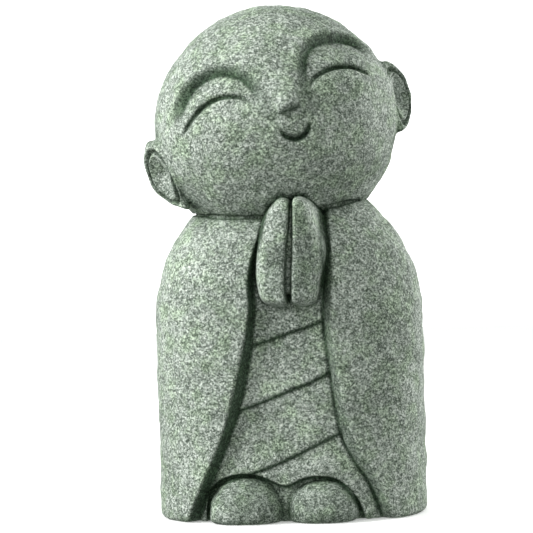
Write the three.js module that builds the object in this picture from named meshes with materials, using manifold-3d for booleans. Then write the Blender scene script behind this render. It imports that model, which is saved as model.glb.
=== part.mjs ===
// A stone jizo: a round-headed child monk in a long open robe, palms together and head on one side,
// carved from a single block. The whole figure is one solid.
// Millimetres. +X is the figure's left, +Y its back, +Z up. The origin is the centre of the underside.
import * as THREE from "three";
import { mergeVertices } from "three/addons/utils/BufferGeometryUtils.js";
import Module from "manifold-3d";

const wasm = await Module();
wasm.setup();
const { clamp, degToRad, lerp, smoothstep } = THREE.MathUtils;

// ---- Driving dimensions ---------------------------------------------------------------------------

// The robed body: a squarish oval column under a domed top that runs up into the head. Its section is
// |x/a|^n + |y/b|^n = 1.
const SECTION_POWER = 2.3;
const OUTER_ROBE = {
  halfWidth: 79,
  halfDepth: 59,
  wallTop: 116,
  domeRise: 85.6,
  domeTurn: 62,
  footRound: 4,
  footShare: 0.993,
};
const ROBE_THICKNESS = 9;
const INNER_ROBE = {
  halfWidth: OUTER_ROBE.halfWidth - ROBE_THICKNESS,
  halfDepth: OUTER_ROBE.halfDepth - ROBE_THICKNESS,
  wallTop: OUTER_ROBE.wallTop,
  domeRise: OUTER_ROBE.domeRise - ROBE_THICKNESS,
};

// The opening down the outer robe's front, as [x, height] from the collar down. The crest is each edge's
// outer line; the root is where its sloping face meets the inner robe.
const OPENING = {
  right: {
    crest: [[-9, 194], [-13.5, 169], [-20.5, 144], [-21.5, 119], [-27.5, 92], [-38, 54], [-53, 20], [-64, -6]],
    root: [[-6, 194], [-11, 169], [-17.5, 144], [-18, 121], [-22, 90], [-31.5, 56], [-46.5, 20], [-56.5, -6]],
  },
  left: {
    crest: [[22, 194], [24.5, 169], [26, 146], [25, 119], [26.5, 92], [36.5, 54], [50.5, 20], [63, -6]],
    root: [[19, 194], [21.5, 169], [22.5, 146], [21.8, 119], [24.5, 92], [31, 54], [42.5, 20], [50, -6]],
  },
};
const OPENING_TOP = 192;
const OPENING_BOTTOM = -3;

// Lapped folds across the inner robe, rising to the figure's left: height on the centre line, slope, and
// how far the upper lap stands proud and the lower one sinks beside the line.
const FOLDS = [
  { height: 108, slope: 0.318 },
  { height: 75, slope: 0.4 },
  { height: 36.5, slope: 0.43 },
];
const LAP = { proud: 1.2, sunk: 1.7, above: 11, below: 8 };
const LEVEL_ROWS = { top: 170, bottom: -3 };

// The hands, held palm to palm. Each runs from the seam between them out to its own side.
const HANDS = { bottom: 125, top: 188, halfDepth: 13, centreY: -55.5, taper: 0.3, power: 2.8 };
const PALM_SEAM = { x: 3.6, lean: 2.2 };
const HAND_SPAN = { right: -19.4, left: 21.8 };

// The toes of two bare feet under the hem: blocky rounded domes with flat soles, and the hem's arches over them.
const FEET = { centreY: -38, halfDepth: 21, centreZ: 4, power: 3.2 };
const FOOT = { right: { x: -25, halfWidth: 21.5, top: 27 }, left: { x: 18.4, halfWidth: 19.3, top: 24.4 } };
const HEM = { gap: { right: 2.2, left: 2.8 }, depth: 9 };

// The head: an egg slightly wider than high, tilted to the figure's right and turned to its left.
const HEAD = { halfWidth: 72.3, halfDepth: 64, crown: 70.6, jaw: 67.6 };
const HEAD_PLACE = { centre: [-4.5, -1, 229.4], tilt: 18.1, turn: 11.5 };

// The features of the face are cut as tapering lines, given in the head's own [x, height] along the deepest part.
// Under each brow: from the temple to beside the nose. The brow's own face is the shorter side of the cut.
const BROWS = {
  right: [[-65, 13], [-60, 20], [-50, 30], [-39, 34.5], [-29, 34], [-20.5, 30.5], [-14.5, 23.5], [-12, 16], [-11, 9]],
  left: [[10.5, 7], [12.5, 15.5], [16.5, 24], [22.5, 30], [30, 32.5], [39, 32], [48.5, 28.5], [58.5, 20], [65, 12]],
};
const BROW_CUT = { depth: 3.8, steep: 6.5, gentle: 8, fade: 0.12, rows: 22 };

// The nose: a rounded wedge between these heights, proudest at its tip and sinking into the forehead at its root.
const NOSE = { bottom: 1.8, root: 40, power: 2.6, rim: -1.8, back: -7 };
const NOSE_TIP = { halfWidth: 7.4, rise: 6.2 };
const NOSE_ROOT = { halfWidth: 13.5, rise: -3.6 };

// Closed smiling eyes and the mouth.
const EYES = {
  right: [[-17.5, 14.5], [-24, 19.8], [-34, 22.6], [-43, 21.3], [-51, 16.6], [-58, 10.8]],
  left: [[55, 8], [45, 14.6], [36, 17.2], [27.5, 17.4], [20, 15.2], [15, 11]],
};
const EYE_CUT = { depth: 3.4, steep: 0.8, gentle: 2.4, fade: 0.3, rows: 16 };
const MOUTH = [[-9, -5.4], [-6.6, -10.4], [-1.2, -13.8], [4.2, -12.8], [7.6, -9.8], [9, -6.2]];
const MOUTH_CUT = { depth: 3, steep: 1.6, gentle: 1.9, fade: 0.3, rows: 16 };

// The ears: oval cups on the sides of the head, facing forwards and outwards, their lobes drawn in to the cheek.
const EAR = { halfHeight: 22, lobeTaper: 0.25, lobeDrift: 9 };
const EAR_PLACE = {
  right: { centre: [-75.5, -9, -7], facing: -50, halfWidth: 11.2 },
  left: { centre: [73.5, -12, -7.5], facing: 42, halfWidth: 12.2 },
};
// Half of the cup's section, as [share of the radius, height over the rim's base].
const EAR_SECTION = [[0, -10], [0.72, -9], [0.95, -4], [1, -1], [0.93, 1.2], [0.82, 1.4], [0.72, -0.4], [0.64, -0.2],
  [0.5, -2.4], [0.25, -4.8], [0, -5.4]];

// How finely each form is divided.
const FACETS = { robeRound: 52, dome: 9, openingColumns: 11, rowStep: 9, headRound: 54, headRings: 33, nose: [16, 12],
  hand: [16, 12], foot: [20, 8], earRound: 20 };

// ---- Solids ---------------------------------------------------------------------------------------

// A closed geometry as a solid that can be joined and cut.
function solid(geometry) {
  const bare = geometry.clone();
  bare.deleteAttribute("normal");
  bare.deleteAttribute("uv");
  const merged = mergeVertices(bare, 1e-4);
  return new wasm.Manifold(
    new wasm.Mesh({
      numProp: 3,
      vertProperties: merged.attributes.position.array,
      triVerts: new Uint32Array(merged.index.array),
    }),
  );
}

// A solid back as a geometry.
function geometryOf(made) {
  const mesh = made.getMesh();
  const geometry = new THREE.BufferGeometry();
  geometry.setAttribute("position", new THREE.BufferAttribute(mesh.vertProperties, 3));
  geometry.setIndex(new THREE.BufferAttribute(mesh.triVerts, 1));
  geometry.computeVertexNormals();
  return geometry;
}

// Moves every vertex of a geometry to where the function puts it.
function reshape(geometry, place) {
  const position = geometry.attributes.position;
  const point = new THREE.Vector3();
  for (let i = 0; i < position.count; i++) {
    place(point.fromBufferAttribute(position, i));
    position.setXYZ(i, point.x, point.y, point.z);
  }
  return geometry;
}

// A smooth line through [x, height] points, as points in the XZ plane.
function lineThrough(points) {
  return new THREE.CatmullRomCurve3(points.map(([x, z]) => new THREE.Vector3(x, 0, z)));
}

// ---- The robes ------------------------------------------------------------------------------------

// The share of a robe's full section that is left at a height: 1 up the wall, then closing as a dome.
function sectionShare(robe, z) {
  const rise = clamp((z - robe.wallTop) / robe.domeRise, 0, 1);
  return Math.sqrt(1 - rise * rise);
}

// The front surface of a robe: its y at a given x and height.
function frontOf(robe, x, z) {
  const share = sectionShare(robe, z);
  const across = clamp(Math.abs(x) / (robe.halfWidth * share), 0, 1);
  return -robe.halfDepth * share * (1 - across ** SECTION_POWER) ** (1 / SECTION_POWER);
}

// The outer robe as a closed column: a turned profile pressed into the squarish oval section.
function robeColumn() {
  const { halfWidth, halfDepth, wallTop, domeRise, domeTurn, footRound, footShare } = OUTER_ROBE;
  const inset = footRound / halfWidth;
  const profile = [
    new THREE.Vector2(0, 0),
    new THREE.Vector2(footShare - inset, 0),
    new THREE.Vector2(footShare - 0.3 * inset, 0.3 * footRound),
    new THREE.Vector2(footShare, footRound),
    new THREE.Vector2(lerp(footShare, 1, 0.6), wallTop / 2),
  ];
  for (let i = 0; i <= FACETS.dome; i++) {
    const turn = degToRad((domeTurn * i) / FACETS.dome);
    profile.push(new THREE.Vector2(Math.cos(turn), wallTop + domeRise * Math.sin(turn)));
  }
  profile.push(new THREE.Vector2(0, profile.at(-1).y));
  const column = new THREE.LatheGeometry(profile, FACETS.robeRound).rotateX(Math.PI / 2);
  return reshape(column, (p) => {
    const radius = Math.hypot(p.x, p.y);
    if (radius < 1e-9) return;
    const square = (Math.abs(p.x) / radius) ** SECTION_POWER + (Math.abs(p.y) / radius) ** SECTION_POWER;
    const stretch = square ** (-1 / SECTION_POWER);
    p.x *= halfWidth * stretch;
    p.y *= halfDepth * stretch;
  });
}

// The slope of the rows that the opening is divided into: each fold's own slope at the fold, level at the ends.
function rowSlope(height) {
  const stops = [[LEVEL_ROWS.top, 0], ...FOLDS.map((fold) => [fold.height, fold.slope]), [LEVEL_ROWS.bottom, 0]];
  const next = stops.findIndex(([level]) => height >= level);
  if (next <= 0) return 0;
  const [upper, lower] = [stops[next - 1], stops[next]];
  return lerp(lower[1], upper[1], (height - lower[0]) / (upper[0] - lower[0]));
}

// Heights on the centre line of the rows: close together over each lap, evenly spread between.
function rowHeights() {
  const steps = [LAP.above, LAP.above / 2, 0.6, -0.7, -LAP.below / 2, -LAP.below];
  const near = FOLDS.flatMap(({ height }) => steps.map((step) => height + step));
  const stops = [OPENING_TOP, ...near, OPENING_BOTTOM];
  const rows = [stops[0]];
  for (let i = 1; i < stops.length; i++) {
    const parts = Math.ceil((stops[i - 1] - stops[i]) / FACETS.rowStep);
    for (let k = 1; k <= parts; k++) rows.push(lerp(stops[i - 1], stops[i], k / parts));
  }
  return rows;
}

// How far the laps push the inner robe's front back (or, where proud, forward) at a given x and height.
function lapRelief(x, z) {
  let sunk = 0;
  for (const { height, slope } of FOLDS) {
    const up = z - (height + slope * x);
    if (up > 0) sunk -= LAP.proud * (1 - smoothstep(up, 0, LAP.above));
    else sunk += LAP.sunk * (1 - smoothstep(-up, 0, LAP.below));
  }
  return sunk;
}

// Where a line of the opening crosses a sloping row.
function crossing(line, height) {
  const slope = rowSlope(height);
  let [top, bottom] = [0, 1];
  for (let i = 0; i < 24; i++) {
    const middle = (top + bottom) / 2;
    const point = line.getPoint(middle);
    if (point.z > height + slope * point.x) top = middle;
    else bottom = middle;
  }
  return line.getPoint(top);
}

// The space between the outer robe's front edges, down to the inner robe's carved surface.
function frontOpening() {
  const rows = rowHeights();
  const lines = [OPENING.right, OPENING.left].map(({ crest, root }) => ({
    crest: lineThrough(crest),
    root: lineThrough(root),
  }));
  const clear = OUTER_ROBE.halfDepth + 8;
  const box = new THREE.BoxGeometry(1, 1, 1, FACETS.openingColumns, 1, rows.length - 1);
  return reshape(box, (p) => {
    const height = rows[Math.round((0.5 - p.z) * (rows.length - 1))];
    const across = p.x + 0.5;
    const roots = lines.map(({ root }) => crossing(root, height));
    const slope = rowSlope(height);
    if (p.y > 0) {
      const x = lerp(roots[0].x, roots[1].x, across);
      const z = height + slope * x;
      const clearOfEdges = smoothstep(Math.min(across, 1 - across), 0, 0.1);
      p.set(x, frontOf(INNER_ROBE, x, z) + clearOfEdges * lapRelief(x, z), z);
      return;
    }
    const fronts = lines.map(({ crest }, i) => {
      const edge = crossing(crest, height);
      edge.y = frontOf(OUTER_ROBE, edge.x, edge.z);
      const root = roots[i].clone();
      root.y = frontOf(INNER_ROBE, root.x, root.z);
      return root.lerp(edge, 1.4);
    });
    const between = across > 0.001 && across < 0.999;
    const x = lerp(fronts[0].x, fronts[1].x, across);
    p.set(x, between ? -clear : lerp(fronts[0].y, fronts[1].y, across), height + slope * x);
  });
}

// ---- Carved lines ---------------------------------------------------------------------------------

// A cutting tool for one carved line of the face. Its steep side lies to the left of the line's run and its
// gentle side to the right, seen from in front; it narrows and shallows towards both ends.
function lineTool(points, { depth, steep, gentle, fade, rows }) {
  const line = lineThrough(points);
  const lift = 0.8;
  const spread = 1 + lift / depth;
  const floor = 0.2;
  return reshape(new THREE.BoxGeometry(1, 1, 1, 1, 1, rows), (p) => {
    const along = 0.5 - p.z;
    const share = lerp(fade, 1, (1 - Math.abs(2 * along - 1) ** 2.5) ** 0.7);
    const here = line.getPoint(along);
    const { point, outward } = onEgg(here.x, here.z);
    const side = new THREE.Vector3().crossVectors(line.getTangent(along), outward).normalize();
    const atTop = p.y < 0;
    const reach = atTop ? spread * (p.x > 0 ? -steep : gentle) : -floor * Math.sign(p.x);
    p.copy(point)
      .addScaledVector(side, reach * share)
      .addScaledVector(outward, atTop ? lift : -depth * share);
  });
}

// ---- Hands and feet -------------------------------------------------------------------------------

// The outline of a rounded block: 1 across its middle, falling to 0 at its ends.
const blunt = (t, power) => Math.max(0, 1 - Math.abs(t) ** power) ** (1 / power);

// A ball whose rings are pressed towards a square and whose height follows the same rounded outline.
function roundedBlock([around, rings], power) {
  const ball = new THREE.SphereGeometry(1, around, rings).rotateX(Math.PI / 2);
  return reshape(ball, (p) => {
    const radius = Math.hypot(p.x, p.y);
    if (radius < 1e-6) return;
    const square = (Math.abs(p.x) / radius) ** power + (Math.abs(p.y) / radius) ** power;
    const size = (blunt(p.z, power) * square ** (-1 / power)) / radius;
    p.x *= size;
    p.y *= size;
  });
}

// One hand: broad at the heel, narrowing to blunt fingertips that lean to the seam between the palms.
function hand(span) {
  return reshape(roundedBlock(FACETS.hand, HANDS.power), (p) => {
    const up = (p.z + 1) / 2;
    const narrow = 1 - HANDS.taper * (up - 0.37);
    const seam = PALM_SEAM.x + PALM_SEAM.lean * up * up;
    p.x = seam + span * narrow * (0.48 * blunt(p.z, HANDS.power) + 0.5 * p.x * Math.sign(span));
    p.y = p.y * HANDS.halfDepth * narrow + HANDS.centreY;
    p.z = lerp(HANDS.bottom, HANDS.top, up);
  });
}

// One foot's toes, or with a gap the arch that the hem leaves over them. The sole is pressed flat.
function footDome({ x, halfWidth, top }, gap = 0) {
  const sole = gap > 0 ? -2 : 0;
  const back = gap > 0 ? HEM.depth - INNER_ROBE.halfDepth : 0;
  return reshape(roundedBlock(FACETS.foot, FEET.power), (p) => {
    p.x = p.x * (halfWidth + gap) + x;
    p.y = Math.min(back, p.y * (FEET.halfDepth + gap) + FEET.centreY);
    p.z = Math.max(sole, FEET.centreZ + p.z * (top + gap - FEET.centreZ));
  });
}

// ---- The head -------------------------------------------------------------------------------------

// The head's bare egg: half its height differs above and below its middle.
const headHeight = (z) => (z > 0 ? HEAD.crown : HEAD.jaw);

// A point on the front of the bare egg, and the way it faces, in the head's own frame.
function onEgg(x, z) {
  const half = headHeight(z);
  const y = -HEAD.halfDepth * Math.sqrt(Math.max(0.01, 1 - (x / HEAD.halfWidth) ** 2 - (z / half) ** 2));
  const outward = new THREE.Vector3(x / HEAD.halfWidth ** 2, y / HEAD.halfDepth ** 2, z / half ** 2).normalize();
  return { point: new THREE.Vector3(x, y, z), outward };
}

// The head without its features.
function skull() {
  const ball = new THREE.SphereGeometry(1, FACETS.headRound, FACETS.headRings).rotateX(Math.PI / 2);
  return reshape(ball, (p) => p.set(p.x * HEAD.halfWidth, p.y * HEAD.halfDepth, p.z * headHeight(p.z)));
}

// The nose, laid on the front of the egg with its rim sunk a little into it.
function nose() {
  return reshape(roundedBlock(FACETS.nose, NOSE.power), (p) => {
    const up = (p.z + 1) / 2;
    const x = p.x * lerp(NOSE_TIP.halfWidth, NOSE_ROOT.halfWidth, up);
    const { point, outward } = onEgg(x, lerp(NOSE.bottom, NOSE.root, up));
    const crown = lerp(NOSE_TIP.rise, NOSE_ROOT.rise, up);
    const lift = lerp(NOSE.rim, p.y < 0 ? crown : NOSE.back, Math.abs(p.y));
    p.copy(point).addScaledVector(outward, lift);
  });
}

// One ear: a turned cup pressed into an oval that narrows to the lobe.
function ear({ centre, facing, halfWidth }) {
  const inwards = Math.sign(facing);
  const cup = new THREE.LatheGeometry(EAR_SECTION.map(([r, h]) => new THREE.Vector2(r, h)), FACETS.earRound);
  reshape(cup, (p) => {
    const low = Math.max(0, -p.z);
    p.x = p.x * halfWidth * (1 - EAR.lobeTaper * low) + inwards * EAR.lobeDrift * low * low;
    p.z *= EAR.halfHeight;
  });
  const outward = new THREE.Vector3(0, -1, 0).applyAxisAngle(new THREE.Vector3(0, 0, 1), degToRad(facing));
  const up = new THREE.Vector3(0, 0, 1);
  const frame = new THREE.Matrix4().makeBasis(new THREE.Vector3().crossVectors(outward, up), outward, up);
  return cup.applyMatrix4(frame.setPosition(...centre));
}

// The whole head, tilted and turned, in its place over the robe.
function head() {
  const carved = solid(skull())
    .add(solid(nose()))
    .subtract(solid(lineTool(BROWS.right, BROW_CUT)))
    .subtract(solid(lineTool(BROWS.left, BROW_CUT)))
    .subtract(solid(lineTool(EYES.right, EYE_CUT)))
    .subtract(solid(lineTool(EYES.left, EYE_CUT)))
    .subtract(solid(lineTool(MOUTH, MOUTH_CUT)))
    .add(solid(ear(EAR_PLACE.right)))
    .add(solid(ear(EAR_PLACE.left)));
  const pose = new THREE.Matrix4()
    .makeRotationY(-degToRad(HEAD_PLACE.tilt))
    .multiply(new THREE.Matrix4().makeRotationZ(degToRad(HEAD_PLACE.turn)))
    .setPosition(...HEAD_PLACE.centre);
  return solid(geometryOf(carved).applyMatrix4(pose));
}

// ---- The figure -----------------------------------------------------------------------------------

function figure() {
  let robes = solid(robeColumn()).subtract(solid(frontOpening()));
  for (const side of ["right", "left"]) {
    robes = robes.subtract(solid(footDome(FOOT[side], HEM.gap[side])));
  }
  return robes
    .add(solid(footDome(FOOT.right)))
    .add(solid(footDome(FOOT.left)))
    .add(solid(hand(HAND_SPAN.right)))
    .add(solid(hand(HAND_SPAN.left)))
    .add(head());
}

const stone = new THREE.MeshStandardMaterial({ color: 0x8b9a8d, roughness: 0.85, metalness: 0 });
const statue = new THREE.Mesh(geometryOf(figure()), stone);
statue.name = "jizo_figure";

const jizo = new THREE.Group();
jizo.add(statue);

export default jizo;
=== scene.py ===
"""A stone jizo: the carved surface of the statue, its granite, and a plain studio to show it in."""

import math

import bpy
import numpy as np
from bpy.props import FloatProperty, FloatVectorProperty, IntProperty, PointerProperty
from mathutils import Matrix, Vector


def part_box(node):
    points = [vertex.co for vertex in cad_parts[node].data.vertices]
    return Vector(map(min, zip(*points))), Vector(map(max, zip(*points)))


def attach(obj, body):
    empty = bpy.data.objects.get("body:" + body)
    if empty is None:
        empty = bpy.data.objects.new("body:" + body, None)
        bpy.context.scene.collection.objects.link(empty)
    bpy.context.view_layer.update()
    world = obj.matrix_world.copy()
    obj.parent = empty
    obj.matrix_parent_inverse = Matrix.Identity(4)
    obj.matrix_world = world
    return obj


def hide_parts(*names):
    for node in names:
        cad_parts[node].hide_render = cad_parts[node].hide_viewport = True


bl_info = {
    "name": "Stone Jizo",
    "version": (1, 0, 0),
    "blender": (4, 5, 0),
    "location": "View3D > Sidebar > Jizo",
    "description": "Carves a granite jizo over its solid block and sets up a plain studio",
    "category": "Add Mesh",
}

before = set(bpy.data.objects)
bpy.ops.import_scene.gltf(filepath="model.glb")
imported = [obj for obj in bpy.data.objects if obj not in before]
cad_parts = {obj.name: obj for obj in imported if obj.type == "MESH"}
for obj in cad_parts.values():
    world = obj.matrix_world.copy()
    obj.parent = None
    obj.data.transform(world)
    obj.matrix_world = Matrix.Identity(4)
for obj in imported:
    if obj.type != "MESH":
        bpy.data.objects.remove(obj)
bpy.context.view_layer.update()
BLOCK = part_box("jizo_figure")
HEIGHT = BLOCK[1].z - BLOCK[0].z

# The carving is worked out in millimetres, and only the finished mesh is turned into metres.
MM = 0.001

# The outer robe's opening, as (x, height) from the collar down: the crest is each front edge's outer line, and the root
# is where its sloping face meets the inner robe. The third entry is how much shade is painted on that sloping face,
# more on the figure's right, whose face is turned away from the key light.
OPENING = {
    "right": {
        "crest": [(-9, 194), (-13.5, 169), (-20.5, 144), (-21.5, 119), (-27.5, 92), (-38, 54), (-53, 20), (-64, -6)],
        "root": [(-6, 194), (-11, 169), (-17.5, 144), (-18, 121), (-22, 90), (-31.5, 56), (-46.5, 20), (-56.5, -6)],
        "painted_shade": 0.95,
    },
    "left": {
        "crest": [(25, 194), (27, 169), (28.5, 146), (27.5, 119), (29.8, 92), (37.2, 54), (52.5, 22), (63, -6)],
        "root": [(20, 194), (21.8, 169), (23, 146), (21.9, 119), (24.5, 90), (29.5, 54), (36.5, 36), (46, 20), (55, -6)],
        "painted_shade": 0.55,
    },
}

# The lower edge of each lap of the inner robe, and the hem over the toes.
LAPS = [
    [(-32, 98), (-18.9, 102), (0, 108), (21.1, 114.7), (34, 119)],
    [(-42, 60), (-26.3, 65), (-13.4, 69.7), (1.8, 75.7), (14.5, 80.4), (24, 85), (38, 92)],
    [(-54, 16.5), (-40, 21.5), (-24.8, 27), (-9.4, 32.5), (5.9, 39), (18.5, 45), (28.6, 49.7), (47, 59)],
]
HEM = [(-48.8, -6), (-48.3, 9), (-45.9, 19), (-40.1, 24.6), (-31, 27.9), (-23.4, 28.1), (-14.5, 26), (-5.7, 21.9),
       (-0.6, 21.6), (7.1, 24.8), (14.8, 26.2), (24.9, 24.9), (32.4, 20), (38.5, 12), (43.3, 0.3), (45.5, -6)]

# The outline of each hand from the front, and the seam between the palms.
HANDS = {
    "right": [(2.2, 127), (1.6, 134), (2.2, 148), (3.3, 160), (4.6, 170), (5.1, 179), (4.2, 185), (1.2, 187), (-2.4, 185.7),
              (-7.4, 180.2), (-10.3, 173.8), (-13.3, 164), (-15, 154.2), (-15.6, 146.1), (-15.2, 136.9),
              (-13.4, 129.8), (-9.5, 126.3), (-2, 124.8)],
    "left": [(4.4, 128), (7, 125.6), (12.3, 125), (17.8, 126.8), (19.9, 130.5), (21.2, 138.8), (23.6, 147.9),
             (24.8, 154.5), (24.3, 160), (22.5, 165.4), (19.7, 174.5), (17.6, 180.6), (14.3, 185.6), (10.3, 187.4),
             (6.9, 185.6), (5.8, 179), (5.6, 165), (4.7, 148), (4.2, 134)],
}
PALM_SEAM = [(3, 118), (2.6, 134), (3, 148), (4.6, 165), (5.4, 184), (5.6, 196)]
PALM = {"front": -68.5, "lean": 0.062, "depth": 14, "slant": 0.24, "web": -61.5}

# The toes under the hem.
FEET = {"centre_y": -38, "half_depth": 21.3, "centre_z": 3, "power": 2.4}
FOOT = {
    "right": {"x": -25, "half_width": 21.8, "top": 26.6},
    "left": {"x": 18.6, "half_width": 20.6, "top": 24.6},
}

# The face, in the head's own (x, height). Each brow runs from the temple to beside the nose along its upper edge.
BROWS = {
    "right": [(-66, 17), (-61.5, 25), (-54, 33.5), (-46, 39.5), (-36, 42.7), (-26.5, 42.5), (-18.5, 38.5),
              (-12.5, 32), (-9, 24), (-7.2, 15), (-7, 7)],
    "left": [(67, 16), (63.5, 26), (58, 33), (51, 37.5), (42, 40.3), (31.5, 40.8), (23.5, 38.8),
             (17, 33.5), (12.2, 25.5), (9.2, 16.5), (7.2, 6)],
}
EYES = {
    "right": [(-58, 10.8), (-52.5, 15.5), (-47, 19), (-40.5, 21.8), (-34, 22.6), (-28, 21.3), (-22, 18.2), (-18, 14.8)],
    "left": [(55, 7.8), (50.6, 11), (45.5, 14.5), (39.5, 16.6), (33, 17.4), (26, 16.8), (19.5, 14.6), (15.2, 11.3)],
}
MOUTH = [(-9, -5.4), (-6.6, -10.4), (-1.2, -13.8), (4.2, -12.8), (7.6, -9.8), (9, -6.2)]
NOSE = {"tip": 6.6, "under": 3.6, "root": 29, "tip_half_width": 7, "root_half_width": 10.5}

# Half the width of the line cut where the head meets the shoulders.
NECK_CREASE = 1.1

# The ears: which way each faces from the front of the head, its middle, and its size.
EARS = {
    "right": {"centre": (-75.5, -9, -7), "facing": -50, "half_width": 11.2},
    "left": {"centre": (73.5, -12, -7.5), "facing": 42, "half_width": 12.2},
}
EAR = {"half_height": 22, "lobe_taper": 0.25, "lobe_drift": 9, "thickness": 7}


# ---- Sizes and finishes ----------------------------------------------------------------------------


def length(name, description, default):
    return FloatProperty(name=name, description=description, default=default, unit="LENGTH", precision=4)


def share(name, description, default):
    return FloatProperty(name=name, description=description, default=default, min=0, max=1, subtype="FACTOR")


def angle(name, description, degrees):
    return FloatProperty(name=name, description=description, default=math.radians(degrees), subtype="ANGLE")


def tint(name, description, default):
    return FloatVectorProperty(name=name, description=description, default=default, min=0, max=1, subtype="COLOR")


class JizoRobe(bpy.types.PropertyGroup):
    half_width: length("Half width", "Half the robed body's width", 0.079)
    half_depth: length("Half depth", "Half the robed body's depth", 0.059)
    wall_top: length("Wall top", "Height where the upright wall turns into the shoulders", 0.116)
    dome_rise: length("Shoulder rise", "Rise of the dome over the wall", 0.0856)
    thickness: length("Edge depth", "Depth from the outer robe to the inner one", 0.009)
    lap: length("Lap", "Step down at each lap of the inner robe", 0.0026)
    hem: length("Hem depth", "Depth of the hollow under the hem", 0.0045)
    foot_round: length("Foot round", "Rounding of the block's lower edge", 0.004)
    squareness: FloatProperty(name="Squareness", description="Power of the oval section", default=2.3)


class JizoHead(bpy.types.PropertyGroup):
    half_width: length("Half width", "Half the head's width without ears", 0.0723)
    half_depth: length("Half depth", "Half the head's depth", 0.064)
    crown: length("Crown", "From the head's middle to its crown", 0.0706)
    jaw: length("Jaw", "From the head's middle to its chin", 0.0676)
    centre: FloatVectorProperty(
        name="Centre", description="The middle of the head", default=(-0.0045, -0.001, 0.2294), subtype="TRANSLATION"
    )
    tilt: angle("Tilt", "Lean to the figure's right", 18.1)
    turn: angle("Turn", "Turn to the figure's left", 11.5)
    brow: length("Brow", "Depth of the hollow under each brow", 0.0055)
    eye: length("Eye", "Depth of each closed eye's line", 0.0036)
    mouth: length("Mouth", "Depth of the mouth's line", 0.0042)
    nose: length("Nose", "Height of the nose at its tip", 0.0068)


class JizoStone(bpy.types.PropertyGroup):
    pitch: length("Pitch", "Spacing of the points that the surface is carved from", 0.0009)
    triangles: IntProperty(name="Triangles", description="Most triangles in the carved mesh", default=190000)
    unevenness: length("Unevenness", "Height of the waves that hand dressing leaves", 0.0003)
    grain: length("Grain", "Size of the mineral grains", 0.0010)
    pale: tint("Pale grains", "Feldspar grains", (0.76, 0.81, 0.75))
    middle: tint("Middle grains", "The stone's main grey-green", (0.36, 0.42, 0.36))
    dark: tint("Dark grains", "Hornblende grains", (0.065, 0.088, 0.066))
    moss: tint("Mossy patches", "Tint of the greener patches", (0.91, 1.0, 0.85))
    # Painted shade: the tint that darkens crevices and carved lines.
    painted_shade_tint: tint("Hollows", "Tint of the worked and sheltered faces", (0.11, 0.18, 0.115))
    roughness: share("Roughness", "How matte the dressed stone is", 0.8)


class JizoStage(bpy.types.PropertyGroup):
    key: FloatProperty(name="Key", description="Power of the soft light on the left", default=17.5, unit="POWER")
    rim: FloatProperty(name="Rim", description="Power of the light behind on the right", default=9, unit="POWER")
    sky: FloatProperty(name="Sky", description="Strength of the light from above and all round", default=0.84)
    ground: FloatProperty(name="Ground", description="Strength of the light from below", default=0.36)
    back: FloatProperty(name="Back", description="Brightness of the backdrop", default=1.1)
    floor: FloatProperty(name="Floor", description="Glow that keeps the floor pale", default=0.32)
    azimuth: angle("Azimuth", "How far round to the figure's left the camera stands", 3.5)
    elevation: angle("Elevation", "How far above level the camera stands", 1.5)
    roll: angle("Roll", "How far the camera is turned about its line of sight", 1.6)
    distance: length("Distance", "From the camera to the point it aims at", 1.5)
    lens: FloatProperty(name="Lens", description="Focal length in millimetres", default=170.9, subtype="DISTANCE_CAMERA")
    aim: FloatVectorProperty(
        name="Aim", description="The point the camera aims at", default=(-0.0127, 0, 0.4877 * HEIGHT), subtype="TRANSLATION"
    )


# ---- Working out shapes ----------------------------------------------------------------------------


def ease(t):
    """Turns 0 to 1 into a smooth step."""
    t = np.clip(t, 0, 1)
    return t * t * (3 - 2 * t)


def between(a, b, t):
    return a + (b - a) * t


def smooth_min(a, b, reach):
    """The lower of two distances, with the crease between them filled over this reach."""
    t = np.clip(0.5 + 0.5 * (b - a) / reach, 0, 1)
    return between(b, a, t) - reach * t * (1 - t)


def smooth_max(a, b, reach):
    return -smooth_min(-a, -b, reach)


def smooth_line(points, count=140):
    """Evenly spaced points on a smooth line through the given ones."""
    p = np.array(points, float)
    p = np.vstack([2 * p[0] - p[1], p, 2 * p[-1] - p[-2]])
    t = np.linspace(0, 1, 40)[:-1, None]
    runs = []
    for a, b, c, d in zip(p, p[1:], p[2:], p[3:]):
        runs.append(0.5 * (2 * b + (c - a) * t + (2 * a - 5 * b + 4 * c - d) * t**2 + (3 * b - a - 3 * c + d) * t**3))
    dense = np.vstack(runs + [p[-2:-1]])
    run = np.concatenate([[0], np.cumsum(np.linalg.norm(np.diff(dense, axis=0), axis=1))])
    even = np.linspace(0, run[-1], count)
    return np.stack([np.interp(even, run, dense[:, k]) for k in range(2)], 1)


def measure_to(points, x, z):
    """For every place: its distance from a line, positive to the line's left, and how far along it lies."""
    line = smooth_line(points)
    tangent = np.gradient(line, axis=0)
    tangent /= np.linalg.norm(tangent, axis=1)[:, None]
    nearest = np.full(x.shape, np.inf)
    index = np.zeros(x.shape, int)
    for i, (px, pz) in enumerate(line):
        gap = (x - px) ** 2 + (z - pz) ** 2
        closer = gap < nearest
        nearest[closer] = gap[closer]
        index[closer] = i
    dx = x - line[index, 0]
    dz = z - line[index, 1]
    across = tangent[index, 0] * dz - tangent[index, 1] * dx
    past_end = (index == 0) | (index == len(line) - 1)
    away = np.where(past_end, np.sign(across) * np.sqrt(nearest), across)
    return away, index / (len(line) - 1)


def scored(away, soft, crisp):
    """A cut line's profile: 1 at its deepest, sloping softly on its positive side and crisply on the other."""
    return np.exp(-((away / np.where(away > 0, soft, crisp)) ** 2))


def x_at_height(points, z):
    """Where a line that runs down the figure is at each height."""
    line = smooth_line(points)[::-1]
    return np.interp(z, line[:, 1], line[:, 0])


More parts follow.
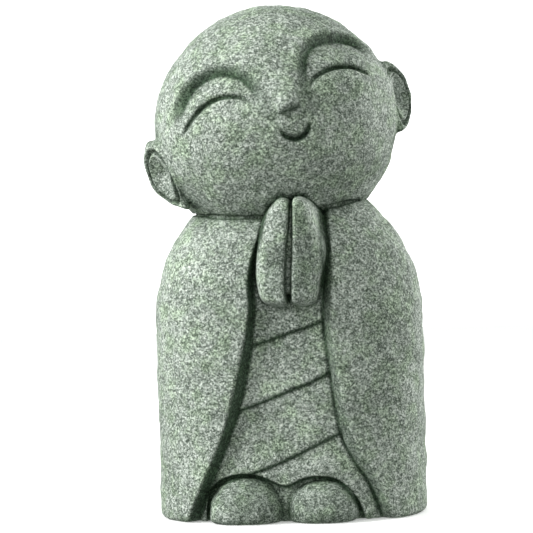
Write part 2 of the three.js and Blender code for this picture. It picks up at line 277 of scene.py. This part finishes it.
class Chart:
    """Layers of carving over (x, height), computed once on a fine sheet and read off between its points."""

    def __init__(self, x_span, z_span, layers_of, step=0.3):
        self.low = (x_span[0], z_span[0])
        self.step = step
        x = np.arange(x_span[0], x_span[1] + step, step)
        z = np.arange(z_span[0], z_span[1] + step, step)
        self.layers = layers_of(*np.meshgrid(x, z, indexing="ij"))

    def at(self, x, z, layer=0):
        sheet = self.layers[layer]
        spots = []
        for value, low, count in zip((x, z), self.low, sheet.shape):
            spot = np.clip((value - low) / self.step, 0, count - 1.001)
            spots.append((spot.astype(int), spot % 1))
        (i, u), (k, v) = spots
        near = between(sheet[i, k], sheet[i + 1, k], u)
        far = between(sheet[i, k + 1], sheet[i + 1, k + 1], u)
        return between(near, far, v)


def blunt(t, power):
    """A rounded block's outline: 1 across its middle, falling to 0 at its ends."""
    return np.maximum(0, 1 - np.abs(t) ** power) ** (1 / power)


def block_distance(x, y, half_x, half_y, power):
    """Distance from an oval or squarish section, along the line from its middle."""
    size = (np.abs(x / half_x) ** power + np.abs(y / half_y) ** power) ** (1 / power)
    size = np.maximum(size, 1e-3)
    return np.hypot(x, y) * (1 - 1 / size)


# ---- The robes, hands and feet ---------------------------------------------------------------------


class Robe:
    """The robed body, its hands and its feet, in millimetres."""

    def __init__(self, sizes):
        self.half_width = sizes.half_width / MM
        self.half_depth = sizes.half_depth / MM
        self.wall_top = sizes.wall_top / MM
        self.dome_rise = sizes.dome_rise / MM
        self.thickness = sizes.thickness / MM
        self.lap = sizes.lap / MM
        self.hem = sizes.hem / MM
        self.power = sizes.squareness
        self.front = Chart((-80, 80), (-6, 200), self.front_layers)
        self.palms = Chart((-26, 36), (112, 200), self.palm_front)

    def front_layers(self, x, z):
        """How deep the front is cut, and how much shade is painted on its sloping walls, root lines, lap grooves and
        hem line.
        """
        opened = np.ones(x.shape)
        painted_shade = np.zeros(x.shape)
        root_cut = np.zeros(x.shape)
        for side, sign in (("right", 1), ("left", -1)):
            crest = x_at_height(OPENING[side]["crest"], z)
            root = x_at_height(OPENING[side]["root"], z)
            along_wall = np.clip(sign * (x - crest) / np.abs(root - crest), 0, 1.2)
            opened = np.minimum(opened, np.minimum(along_wall, 1))
            # Painted shade on each sloping wall and along its root line.
            wall = ease(along_wall / 0.35) * (1 - ease((along_wall - 1) / 0.12))
            root_line = scored(sign * (x - root), 1.1, 1.1)
            painted_shade = np.maximum(painted_shade, np.maximum(OPENING[side]["painted_shade"] * wall, 0.9 * root_line))
            root_cut = root_cut + 0.7 * root_line
        depth = self.thickness * opened**1.3 + root_cut
        floor = ease((opened - 0.9) / 0.1)
        for line in LAPS:
            up, _ = measure_to(line, x, z)
            over = ease(up / 0.9 + 0.5)
            sunk = 0.6 * self.lap * np.exp(-np.abs(up) / 6)
            proud = 0.4 * self.lap * np.exp(-np.abs(up) / 9)
            groove = scored(up - 0.3, 1.3, 0.7)
            depth += floor * (between(sunk, -proud, over) + groove)
            # Painted shade in each lap's groove.
            painted_shade = np.maximum(painted_shade, floor * groove)
        above, _ = measure_to(HEM, x, z)
        depth += self.hem * ease(0.5 - above / 1.4)
        # Painted shade along the hem's edge over the toes.
        painted_shade = np.maximum(painted_shade, scored(above + 0.8, 0.9, 1.6))
        return depth, painted_shade

    def palm_front(self, x, z):
        """How far forward the hands come: two pillows, crisp along the seam, each face turned a little outwards."""
        seam = x_at_height(PALM_SEAM[::-1], z)
        reach = between(1.8, 6.5, ease(np.abs(x - seam) / 9))
        face = PALM["front"] + PALM["lean"] * (z - 148) + PALM["slant"] * np.abs(x - seam)
        front = np.where(np.abs(x - seam) < 4, PALM["web"], -15.0) + 45 * ease((np.abs(z - 156) - 22) / 9)
        for outline in HANDS.values():
            inside, _ = measure_to([*outline, outline[0]], x, z)
            rise = (1 - (1 - np.clip(inside / reach, 0, 1)) ** 2.4) ** (1 / 2.4)
            front = np.minimum(front, face + PALM["depth"] * (1 - rise) + 4 * np.maximum(0, -inside))
        return (np.minimum(front, -15),)

    def column(self, x, y, z):
        """Distance from the outer robe before its front is opened."""
        rise = np.clip((z - self.wall_top) / self.dome_rise, 0, 0.995)
        section = np.sqrt(1 - rise**2)
        width = self.half_width * (1 - 0.007 * np.clip(1 - z / self.wall_top, 0, 1))
        lean = rise * self.half_width / (self.dome_rise * section)
        radial = block_distance(x, y, width * section, self.half_depth * section, self.power)
        top = z - self.wall_top - 0.98 * self.dome_rise
        return np.maximum(radial / np.sqrt(1 + lean**2), top)

    def distance(self, x, y, z):
        cut = self.front.at(x, z) * ease(-y / 12)
        robe = self.column(x, y, z) + cut
        body = smooth_min(robe, self.feet(x, y, z), 0.6)
        return smooth_min(body, self.hands(x, y, z), 0.8)

    # Painted shade on the carved front and a flat painted shade on the toes, only on the front.
    def painted_shade(self, x, y, z):
        painted_toe_shade = 0.35 * (self.feet(x, y, z) < 0.5)
        return np.maximum(self.front.at(x, z, 1), painted_toe_shade) * ease(-y / 12)

    def feet(self, x, y, z):
        nearest = None
        for foot in FOOT.values():
            rise = foot["top"] - FEET["centre_z"]
            up = np.clip((z - FEET["centre_z"]) / rise, 0, 0.999)
            shrink = blunt(up, FEET["power"])
            flat = block_distance(
                x - foot["x"], y - FEET["centre_y"], foot["half_width"] * shrink, FEET["half_depth"] * shrink, FEET["power"]
            )
            side = np.maximum(flat * (0.35 + 0.65 * shrink), z - foot["top"])
            nearest = side if nearest is None else smooth_min(nearest, side, 3)
        return nearest

    def hands(self, x, y, z):
        return np.maximum((self.palms.at(x, z) - y) * 0.7, y + 32)


# ---- The head --------------------------------------------------------------------------------------


class Head:
    """The tilted head with its face and ears, in millimetres."""

    def __init__(self, sizes):
        self.half_width = sizes.half_width / MM
        self.half_depth = sizes.half_depth / MM
        self.crown = sizes.crown / MM
        self.jaw = sizes.jaw / MM
        self.brow = sizes.brow / MM
        self.eye = sizes.eye / MM
        self.mouth = sizes.mouth / MM
        self.nose = sizes.nose / MM
        self.centre = np.array(sizes.centre) / MM
        pose = Matrix.Rotation(-sizes.tilt, 3, "Y") @ Matrix.Rotation(sizes.turn, 3, "Z")
        self.axes = np.array(pose)
        self.face = Chart((-74, 74), (-50, 60), self.face_layers)

    def face_layers(self, x, z):
        """How far the face stands out from the egg, and how much shade is painted on its brow bevels, eye and mouth
        lines and under its nose.
        """
        height, painted_shade = self.nose_ridge(x, z)
        cuts = [self.mouth_line(x, z)]
        for side, turn in (("right", -1), ("left", 1)):
            cuts += [self.brow_hollow(BROWS[side], turn, x, z), self.eye_line(EYES[side], -turn, x, z)]
        for rise, dark in cuts:
            height = height + rise
            painted_shade = np.maximum(painted_shade, dark)
        return height, painted_shade

    def brow_hollow(self, line, turn, x, z):
        """A bevel that drops from the brow's edge, then a lid that swells out of its foot, with shade painted on the
        bevel, darker towards its foot.
        """
        bevel = 7
        lid = 11
        away, along = measure_to(line, x, z)
        below = turn * away
        drop = np.clip(below / bevel, 0, 1) ** 1.15
        swell = np.exp(-np.maximum(below - bevel, 0) / lid)
        strength = ease(along / 0.3) * (1 - 0.75 * ease((along - 0.8) / 0.2))
        dark = ease(below / 2.5) * (1 - ease((below - bevel) / 1.2)) * (0.6 + 0.4 * drop)
        return -self.brow * strength * drop * swell, dark * ease(along / 0.2) * (1 - 0.6 * ease((along - 0.75) / 0.2))

    def eye_line(self, line, turn, x, z):
        """A tapering line, sloping in softly from the lid and cut crisply at the cheek, which swells below it. Shade is
        painted in the line.
        """
        away, along = measure_to(line, x, z)
        above = turn * away
        taper = np.maximum(0, 1 - np.abs(2 * along - 1) ** 2.5) ** 0.7
        thin = 0.35 + 0.65 * taper
        line_cut = taper * scored(above, 2.1 * thin, 0.7 * thin)
        cheek = 0.9 * taper * ease(-above / 1.5) * np.exp(-np.maximum(-above, 0) / 9)
        return cheek - self.eye * line_cut, line_cut

    def nose_ridge(self, x, z):
        up = z - NOSE["tip"]
        climb = np.clip(up / (NOSE["root"] - NOSE["tip"]), 0, 1)
        half_width = between(NOSE["tip_half_width"], NOSE["root_half_width"], climb)
        below = np.clip(-up / NOSE["under"], 0, 1)
        profile = np.where(up > 0, 1 - ease(climb), np.sqrt(1 - below**2))
        section = np.clip(1 - np.abs(x / half_width) ** 2.6, 0, 1) ** 0.6
        foot = NOSE["tip"] - NOSE["under"]
        # Painted shade under the nose's tip.
        shade = 0.8 * scored(z - foot, 2.2, 1.2) * blunt(np.clip(x / (NOSE["tip_half_width"] + 1), -1, 1), 2)
        return self.nose * profile * section, shade

    def mouth_line(self, x, z):
        """A crescent, cut crisply along its lower lip, with shade painted in the cut."""
        away, along = measure_to(MOUTH, x, z)
        taper = np.maximum(0, 1 - np.abs(2 * along - 1) ** 2.2) ** 0.6
        thin = 0.3 + 0.7 * taper
        line_cut = taper * scored(away, 2.0 * thin, 1.1 * thin)
        lip = 0.5 * taper * scored(-away - 3.2, 1.6, 1.6)
        return lip - self.mouth * line_cut, line_cut

    def own_axes(self, x, y, z):
        return ((np.stack([x, y, z], 1) - self.centre) @ self.axes).T

    # Painted shade on the face's carved lines, only on its front.
    def painted_shade(self, x, y, z):
        x, y, z = self.own_axes(x, y, z)
        return self.face.at(x, z, 1) * ease(-y / 14)

    def distance(self, x, y, z):
        x, y, z = self.own_axes(x, y, z)
        half_height = np.where(z > 0, self.crown, self.jaw)
        size = np.sqrt((x / self.half_width) ** 2 + (y / self.half_depth) ** 2 + (z / half_height) ** 2)
        egg = np.sqrt(x**2 + y**2 + z**2) * (1 - 1 / np.maximum(size, 0.05))
        head = egg - self.face.at(x, z) * ease(-y / 14)
        for ear in EARS.values():
            head = smooth_min(head, self.ear(ear, x, y, z), 2.5)
        return head

    def ear(self, ear, x, y, z):
        """A plate with a rounded rim, a groove inside it, a raised inner lobe and a small deep hollow."""
        facing = math.radians(ear["facing"])
        dx = x - ear["centre"][0]
        dy = y - ear["centre"][1]
        v = (z - ear["centre"][2]) / EAR["half_height"]
        out = dx * math.sin(facing) - dy * math.cos(facing)
        outwards = (dx * math.cos(facing) + dy * math.sin(facing)) * np.sign(facing)
        low = np.clip(-v, 0, 1.4)
        half_width = ear["half_width"] * (1 - EAR["lobe_taper"] * low)
        u = (outwards + EAR["lobe_drift"] * low**2) / half_width
        ring = np.sqrt(u**2 + v**2)
        rim = 1.2 * np.exp(-(((ring - 0.88) / 0.1) ** 2))
        groove = 1.9 * np.exp(-(((ring - 0.74) / 0.06) ** 2))
        ridge = 0.9 * np.exp(-(((ring - 0.62) / 0.05) ** 2))
        bowl = 2.8 * (1 - np.clip(ring / 0.6, 0, 1) ** 2)
        hollow = 4 * np.exp(-(((u + 0.2) ** 2 + ((v - 0.18) * 1.9) ** 2) / 0.06))
        face = rim + ridge - groove - bowl - hollow
        edge = (ring - 1) * half_width * 0.9
        back = -out - EAR["thickness"] * (1.25 - 0.55 * np.clip(ring, 0, 1))
        return smooth_max(smooth_max(out - face, edge, 2.5), back, 2.5)


# ---- The figure ------------------------------------------------------------------------------------


class Figure:
    """The whole statue as a distance: negative inside the stone, in millimetres."""

    def __init__(self, robe, head, stone):
        self.robe = Robe(robe)
        self.head = Head(head)
        self.foot_round = robe.foot_round / MM
        self.waves = self.dressing(stone.unevenness / MM)

    def dressing(self, height):
        """Shallow waves of several lengths, as hand dressing leaves: direction, phase and height of each."""
        rng = np.random.default_rng(7)
        waves = []
        for wavelength, part in ((38, 0.45), (22, 0.4), (11, 0.25), (6, 0.13)):
            for _ in range(5):
                direction = rng.normal(size=3)
                direction *= 2 * math.pi / wavelength / np.linalg.norm(direction)
                waves.append((direction, rng.uniform(0, 2 * math.pi), height * part))
        return waves

    def distance(self, points):
        x, y, z = points.T
        robe = self.robe.distance(x, y, z)
        head = self.head.distance(x, y, z)
        crease = NECK_CREASE - np.hypot(robe, head)
        stone = smooth_max(np.minimum(robe, head), crease, 0.8)
        for direction, phase, height in self.waves:
            stone = stone + height * np.sin(points @ direction + phase)
        return smooth_max(stone, -z, self.foot_round)

    # Painted shade from the head or the robe, whichever surface is nearer.
    def painted_shade(self, points):
        x, y, z = points.T
        on_head = self.head.distance(x, y, z) < self.robe.distance(x, y, z)
        return np.where(on_head, self.head.painted_shade(x, y, z), self.robe.painted_shade(x, y, z))


def in_parts(function, points, size=200000):
    return np.concatenate([function(points[i : i + size]) for i in range(0, len(points), size)])


def sample_block(distance, low, high, pitch):
    """Distances on a grid over a box. Only points near the surface are computed finely."""
    coarse = 4
    counts = (np.ceil((high - low) / (pitch * coarse)).astype(int)) + 1
    axes = [low[k] + (np.arange(counts[k]) + 0.5) * pitch * coarse for k in range(3)]
    middles = np.stack(np.meshgrid(*axes, indexing="ij"), -1).reshape(-1, 3)
    rough = in_parts(distance, middles).reshape(counts)
    values = np.repeat(np.repeat(np.repeat(rough, coarse, 0), coarse, 1), coarse, 2)
    near = np.argwhere(np.abs(values) < 3.2 * coarse * pitch)
    values[tuple(near.T)] = in_parts(distance, low + near * pitch)
    return values


def skin(values, low, pitch):
    """A closed skin of four-sided faces where the values change sign, one point in each cell it passes."""
    inside = values < 0
    cells = tuple(n - 1 for n in values.shape)
    corners = [(i, j, k) for i in (0, 1) for j in (0, 1) for k in (0, 1)]

    def corner(grid, at):
        return grid[tuple(slice(a, a + n) for a, n in zip(at, cells))]

    count = sum(corner(inside, at).astype(np.int8) for at in corners)
    passed = np.argwhere((count > 0) & (count < 8))
    number = np.full(cells, -1, np.int32)
    number[tuple(passed.T)] = np.arange(len(passed))
    total = np.zeros((len(passed), 3))
    hits = np.zeros((len(passed), 1))
    for at in corners:
        for axis in range(3):
            if at[axis]:
                continue
            to = np.array(at)
            to[axis] = 1
            a = values[tuple((passed + at).T)]
            b = values[tuple((passed + to).T)]
            cut = ((a < 0) != (b < 0))[:, None]
            t = (a / np.where(a == b, 1, a - b))[:, None]
            total += np.where(cut, np.array(at) + t * (to - np.array(at)), 0)
            hits += cut
    points = low + (passed + total / hits) * pitch
    faces = []
    for axis in range(3):
        first = np.moveaxis(inside, axis, 0)[:-1]
        second = np.moveaxis(inside, axis, 0)[1:]
        edge = np.argwhere(np.moveaxis(first != second, 0, axis))
        step_b = np.eye(3, dtype=int)[(axis + 1) % 3]
        step_c = np.eye(3, dtype=int)[(axis + 2) % 3]
        around = [edge, edge - step_b, edge - step_b - step_c, edge - step_c]
        quads = np.stack([number[tuple(cell.T)] for cell in around], 1)
        turned = ~inside[tuple(edge.T)]
        quads[turned] = quads[turned][:, ::-1]
        faces.append(quads)
    return points, np.vstack(faces)


def gradient(distance, points, step=0.25):
    return np.stack(
        [
            (in_parts(distance, points + step * axis) - in_parts(distance, points - step * axis)) / (2 * step)
            for axis in np.eye(3)
        ],
        1,
    )


def settle(distance, points, pitch, rounds=2):
    """Moves points onto the surface, each by less than a grid step at a time."""
    for _ in range(rounds):
        away = in_parts(distance, points)
        slope = gradient(distance, points)
        move = away / np.maximum((slope**2).sum(1), 0.2)
        points = points - np.clip(move, -pitch, pitch)[:, None] * slope
    points[:, 2] = np.maximum(points[:, 2], 0)
    return points


def hollowness(distance, points):
    """How shut in each point is, from 0 in the open to 1 in a deep crevice; it sets the shade painted into crevices."""
    slope = gradient(distance, points)
    outward = slope / np.linalg.norm(slope, axis=1)[:, None]
    shut = np.zeros(len(points))
    reaches = (2, 5, 10)
    for reach in reaches:
        free = in_parts(distance, points + outward * reach) / reach
        shut += np.clip(1 - free, 0, 1) / len(reaches)
    return np.clip(shut, 0, 1)


def carve(sizes_of_robe, sizes_of_head, stone):
    """The statue's mesh, with the shade painted on each point from its hollowness and the carved lines."""
    figure = Figure(sizes_of_robe, sizes_of_head, stone)
    pitch = stone.pitch / MM
    margin = 6
    low = np.array(BLOCK[0]) / MM - margin
    high = np.array(BLOCK[1]) / MM + margin
    values = sample_block(figure.distance, low, high, pitch)
    points, quads = skin(values, low, pitch)
    points = settle(figure.distance, points, pitch)
    mesh = bpy.data.meshes.new("carved_stone")
    mesh.from_pydata(points.tolist(), [], quads.tolist())
    draft = bpy.data.objects.new("carved_stone", mesh)
    bpy.context.scene.collection.objects.link(draft)
    thin = draft.modifiers.new("thin", "DECIMATE")
    thin.ratio = min(1, stone.triangles / (2 * len(quads)))
    graph = bpy.context.evaluated_depsgraph_get()
    carved = bpy.data.meshes.new_from_object(draft.evaluated_get(graph))
    bpy.data.objects.remove(draft)
    bpy.data.meshes.remove(mesh)
    places = np.zeros(len(carved.vertices) * 3, np.float32)
    carved.vertices.foreach_get("co", places)
    places = settle(figure.distance, places.reshape(-1, 3).astype(float), pitch)
    # Painted shade: crevices and carved lines together, kept on each point as the hollow attribute.
    shut = 1 - (1 - hollowness(figure.distance, places)) * (1 - in_parts(figure.painted_shade, places))
    hollow = carved.attributes.new("hollow", "FLOAT", "POINT")
    hollow.data.foreach_set("value", shut.astype(np.float32))
    carved.vertices.foreach_set("co", (places * MM).astype(np.float32).ravel())
    carved.shade_smooth()
    carved.update()
    return carved


# ---- The granite -----------------------------------------------------------------------------------


def granite(stone):
    """Speckled grey-green granite, with shade painted into its crevices and carved lines."""
    material = bpy.data.materials.new("speckled_granite")
    material.use_nodes = True
    tree = material.node_tree
    shader = tree.nodes["Principled BSDF"]
    shader.inputs["Roughness"].default_value = stone.roughness
    shader.inputs["Specular IOR Level"].default_value = 0.35

    def add(kind, **settings):
        node = tree.nodes.new(kind)
        for name, value in settings.items():
            setattr(node, name, value)
        return node

    def maths(operation, a, b):
        node = add("ShaderNodeMath", operation=operation)
        for socket, value in zip(node.inputs, (a, b)):
            if isinstance(value, bpy.types.NodeSocket):
                tree.links.new(value, socket)
            else:
                socket.default_value = value
        return node.outputs[0]

    place = add("ShaderNodeTexCoord").outputs["Object"]

    def noise(size, detail, roughness=0.6):
        node = add("ShaderNodeTexNoise")
        tree.links.new(place, node.inputs["Vector"])
        node.inputs["Scale"].default_value = 1 / size
        node.inputs["Detail"].default_value = detail
        node.inputs["Roughness"].default_value = roughness
        return node.outputs["Fac"]

    def grains(size):
        node = add("ShaderNodeTexVoronoi")
        tree.links.new(place, node.inputs["Vector"])
        node.inputs["Scale"].default_value = 1 / size
        split = add("ShaderNodeSeparateColor")
        tree.links.new(node.outputs["Color"], split.inputs["Color"])
        return split.outputs["Red"], node.outputs["Distance"]

    big, big_edge = grains(stone.grain)
    small, small_edge = grains(stone.grain * 0.55)
    mottle = noise(stone.grain * 3.5, 4, 0.7)
    speckle = maths("ADD", maths("MULTIPLY", big, 0.40), maths("MULTIPLY", small, 0.40))
    speckle = maths("ADD", speckle, maths("MULTIPLY", mottle, 0.42))
    speckle = maths("ADD", speckle, maths("MULTIPLY", noise(stone.grain * 40, 2), 0.25))
    speckle = maths("SUBTRACT", speckle, 0.235)

    ramp = add("ShaderNodeValToRGB")
    tree.links.new(speckle, ramp.inputs["Fac"])
    colours = ramp.color_ramp
    colours.elements[0].position = 0.22
    colours.elements[0].color = (*stone.dark, 1)
    colours.elements[1].position = 0.82
    colours.elements[1].color = (*stone.pale, 1)
    for position, colour in ((0.42, [0.55 * c for c in stone.middle]), (0.58, stone.middle)):
        colours.elements.new(position).color = (*colour, 1)

    def tinted(colour, factor, tone):
        node = add("ShaderNodeMix", data_type="RGBA", blend_type="MULTIPLY")
        tree.links.new(factor, node.inputs["Factor"])
        tree.links.new(colour, node.inputs[6])
        node.inputs[7].default_value = (*tone, 1)
        return node.outputs[2]

    patches = add("ShaderNodeMapRange")
    tree.links.new(noise(stone.grain * 12, 3), patches.inputs["Value"])
    patches.inputs["From Min"].default_value = 0.45
    patches.inputs["From Max"].default_value = 0.65
    mossy = tinted(ramp.outputs["Color"], patches.outputs["Result"], stone.moss)
    # Painted shade: the hollow attribute darkens the stone towards a greener tint in crevices and on the carved lines.
    shut = add("ShaderNodeAttribute", attribute_name="hollow")
    tree.links.new(tinted(mossy, shut.outputs["Fac"], stone.painted_shade_tint), shader.inputs["Base Color"])

    bump = add("ShaderNodeBump")
    rough = maths("ADD", maths("MULTIPLY", big_edge, 0.5), maths("MULTIPLY", small_edge, 0.3))
    tree.links.new(maths("ADD", rough, noise(stone.grain * 2, 4)), bump.inputs["Height"])
    bump.inputs["Strength"].default_value = 0.5
    bump.inputs["Distance"].default_value = stone.grain * 0.5
    tree.links.new(bump.outputs["Normal"], shader.inputs["Normal"])
    return material


def plain_finish(name, colour, glow=0):
    material = bpy.data.materials.new(name)
    material.use_nodes = True
    shader = material.node_tree.nodes["Principled BSDF"]
    shader.inputs["Base Color"].default_value = (*colour, 1)
    shader.inputs["Roughness"].default_value = 0.9
    shader.inputs["Specular IOR Level"].default_value = 0.1
    shader.inputs["Emission Color"].default_value = (*colour, 1)
    shader.inputs["Emission Strength"].default_value = glow
    return material


# ---- Operators -------------------------------------------------------------------------------------


class JIZO_OT_carve(bpy.types.Operator):
    """Carve the statue from its block and give it its granite"""

    bl_idname = "jizo.carve"
    bl_label = "Carve Jizo"

    def execute(self, context):
        scene = context.scene
        mesh = carve(scene.jizo_robe, scene.jizo_head, scene.jizo_stone)
        if len(mesh.polygons) < 1000:
            raise RuntimeError("the carving left almost no stone, so its sizes are wrong")
        mesh.materials.append(granite(scene.jizo_stone))
        statue = bpy.data.objects.new("jizo_statue", mesh)
        scene.collection.objects.link(statue)
        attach(statue, "root")
        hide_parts("jizo_figure")
        return {"FINISHED"}


class JIZO_OT_stage(bpy.types.Operator):
    """Set up the floor, backdrop, lights and camera"""

    bl_idname = "jizo.stage"
    bl_label = "Set Stage"

    def execute(self, context):
        stage = context.scene.jizo_stage
        self.floor_and_backdrop(stage)
        self.lights(context.scene, stage)
        self.camera(context.scene, stage)
        context.scene.view_settings.view_transform = "Standard"
        return {"FINISHED"}

    def floor_and_backdrop(self, stage):
        """A round floor with a wall all round it. Neither throws its light back at the stone."""
        reach = 7 * HEIGHT
        sides = 64
        turns = [2 * math.pi * i / sides for i in range(sides)]
        ring = [(reach * math.cos(t), reach * math.sin(t), 0) for t in turns]
        top = [(x, y, 1.5 * reach) for x, y, _ in ring]
        wall = [(i, (i + 1) % sides, sides + (i + 1) % sides, sides + i) for i in range(sides)]
        for name, points, faces, finish in (
            ("floor", ring, [tuple(range(sides))], plain_finish("pale_floor", (0.9, 0.9, 0.9), stage.floor)),
            ("backdrop", ring + top, wall, plain_finish("bright_backdrop", (1, 1, 1), stage.back)),
        ):
            mesh = bpy.data.meshes.new(name)
            mesh.from_pydata(points, [], faces)
            mesh.materials.append(finish)
            sheet = bpy.data.objects.new(name, mesh)
            sheet.visible_diffuse = False
            sheet.visible_glossy = False
            bpy.context.scene.collection.objects.link(sheet)

    def lights(self, scene, stage):
        world = bpy.data.worlds.new("soft_room")
        world.use_nodes = True
        tree = world.node_tree
        background = tree.nodes["Background"]
        background.inputs["Color"].default_value = (0.97, 1, 0.97, 1)
        direction = tree.nodes.new("ShaderNodeTexCoord")
        parts = tree.nodes.new("ShaderNodeSeparateXYZ")
        height = tree.nodes.new("ShaderNodeMapRange")
        tree.links.new(direction.outputs["Generated"], parts.inputs["Vector"])
        tree.links.new(parts.outputs["Z"], height.inputs["Value"])
        height.inputs["From Min"].default_value = -0.6
        height.inputs["From Max"].default_value = 0.6
        height.inputs["To Min"].default_value = stage.ground
        height.inputs["To Max"].default_value = stage.sky
        tree.links.new(height.outputs["Result"], background.inputs["Strength"])
        scene.world = world
        for name, power, place, size in (
            ("key_light", stage.key, (-3.7, -1.4, 2.4), 2.2),
            ("rim_light", stage.rim, (3.0, 2.2, 1.4), 1.6),
        ):
            data = bpy.data.lights.new(name, "AREA")
            data.energy = power
            data.shape = "DISK"
            data.size = size * HEIGHT
            lamp = bpy.data.objects.new(name, data)
            lamp.location = Vector(place) * HEIGHT
            aim = Vector((0, 0, 0.5 * HEIGHT)) - lamp.location
            lamp.rotation_euler = aim.to_track_quat("-Z", "Y").to_euler()
            scene.collection.objects.link(lamp)

    def camera(self, scene, stage):
        a, e, r = stage.azimuth, stage.elevation, stage.roll
        back = Vector((math.sin(a) * math.cos(e), -math.cos(a) * math.cos(e), math.sin(e)))
        level = Vector((math.cos(a), math.sin(a), 0))
        upright = back.cross(level)
        right = level * math.cos(r) - upright * math.sin(r)
        up = level * math.sin(r) + upright * math.cos(r)
        data = bpy.data.cameras.new("camera")
        data.lens = stage.lens
        data.sensor_width = 36
        data.clip_start = 0.05
        data.clip_end = 50
        camera = bpy.data.objects.new("camera", data)
        camera.matrix_world = Matrix.Translation(Vector(stage.aim) + back * stage.distance) @ Matrix(
            (right, up, back)
        ).transposed().to_4x4()
        scene.collection.objects.link(camera)
        scene.camera = camera


class VIEW3D_PT_jizo(bpy.types.Panel):
    """The statue's sizes and finishes, and the steps that make it"""

    bl_label = "Stone Jizo"
    bl_space_type = "VIEW_3D"
    bl_region_type = "UI"
    bl_category = "Jizo"

    def draw(self, context):
        layout = self.layout
        for operator in OPERATORS:
            layout.operator(operator.bl_idname)
        for name, group in GROUPS.items():
            box = layout.box()
            box.label(text=name.replace("jizo_", "").title())
            for field in group.__annotations__:
                box.prop(getattr(context.scene, name), field)


OPERATORS = (JIZO_OT_carve, JIZO_OT_stage)
GROUPS = {"jizo_robe": JizoRobe, "jizo_head": JizoHead, "jizo_stone": JizoStone, "jizo_stage": JizoStage}


def register():
    for cls in (*GROUPS.values(), *OPERATORS, VIEW3D_PT_jizo):
        bpy.utils.register_class(cls)
    for name, group in GROUPS.items():
        setattr(bpy.types.Scene, name, PointerProperty(type=group))


def unregister():
    for name in GROUPS:
        delattr(bpy.types.Scene, name)
    for cls in reversed((*GROUPS.values(), *OPERATORS, VIEW3D_PT_jizo)):
        bpy.utils.unregister_class(cls)


def main():
    register()
    bpy.ops.jizo.carve()
    bpy.ops.jizo.stage()


if __name__ == "__main__":
    main()
